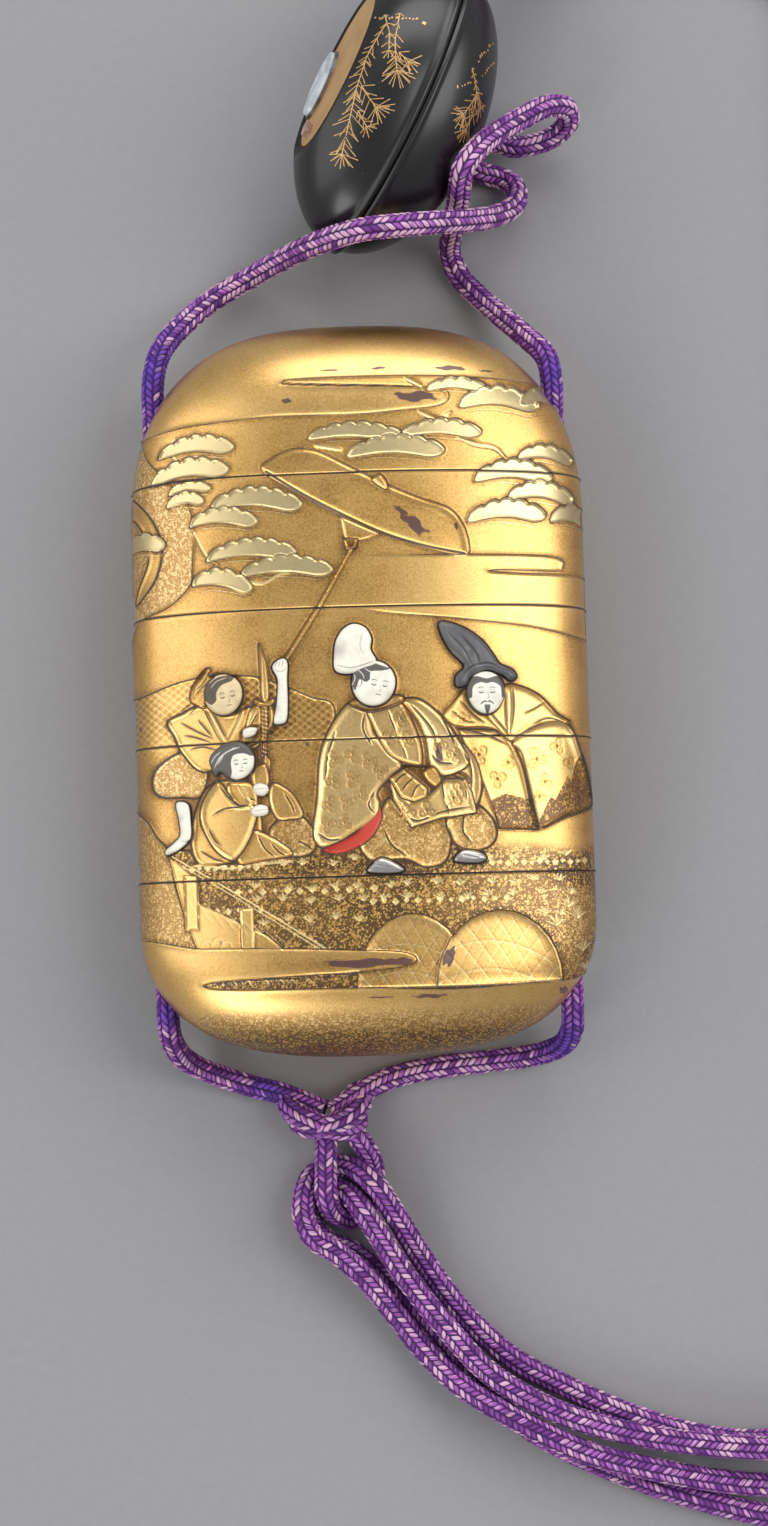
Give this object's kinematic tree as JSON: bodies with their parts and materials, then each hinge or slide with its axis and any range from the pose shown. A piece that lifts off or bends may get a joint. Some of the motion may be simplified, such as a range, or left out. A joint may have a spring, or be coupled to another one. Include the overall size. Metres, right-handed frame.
{
  "type": "inro case with cord and toggle",
  "caption": "Tiered gold-lacquered inro case with a lifting lid, stacked trays, inlaid relief picture, silk cord and a two-part oval toggle.",
  "frame": {"origin": "under the middle of the case, on the surface that its back rests on", "axes": "+X across the case to the right of its picture, +Y along the case towards the lid, +Z out of its front"},
  "size_m": [0.1002, 0.2163, 0.0247],
  "materials": {
    "gold_lacquer": "gold-powder lacquer over wood, polished, worn to purple-brown in places",
    "white_inlay": "polished ivory-white inlay with dark incised lines",
    "black_inlay": "smooth dark inlay, half matt",
    "grey_inlay": "dull silver-grey inlay",
    "black_lacquer": "mirror-polished black lacquer with gold pine sprays",
    "purple_silk": "braided purple silk with pale pink threads"
  },
  "bodies": {
    "root": {"lid": "gold_lacquer", "upper_tray": "gold_lacquer", "middle_tray": "gold_lacquer", "lower_tray": "gold_lacquer", "bottom_tray": "gold_lacquer", "courtier_cap_inlay": "white_inlay", "courtier_face_inlay": "white_inlay", "sitter_cap_inlay": "black_inlay", "sitter_face_inlay": "white_inlay", "attendant_face_inlay": "white_inlay", "attendant_arm_inlay": "white_inlay", "attendant_leg_inlay": "white_inlay", "kneeler_face_inlay": "white_inlay", "courtier_left_shoe_inlay": "grey_inlay", "courtier_right_shoe_inlay": "grey_inlay", "toggle_front": "black_lacquer", "toggle_back": "black_lacquer", "cord_top_loop": "purple_silk", "cord_left_channel": "purple_silk", "cord_right_channel": "purple_silk", "cord_left_foot": "purple_silk", "cord_right_foot": "purple_silk", "strand_outer_upper_out": "purple_silk", "strand_outer_upper_side": "purple_silk", "strand_outer_upper_back": "purple_silk", "strand_inner_upper_out": "purple_silk", "strand_inner_upper_side": "purple_silk", "strand_inner_upper_back": "purple_silk", "strand_outer_lower_out": "purple_silk", "strand_outer_lower_side": "purple_silk", "strand_outer_lower_back": "purple_silk", "strand_inner_lower_out": "purple_silk", "strand_inner_lower_side": "purple_silk", "strand_inner_lower_back": "purple_silk", "bight_outer": "purple_silk", "bight_inner": "purple_silk", "knot": "purple_silk"}
  },
  "joints": []
}
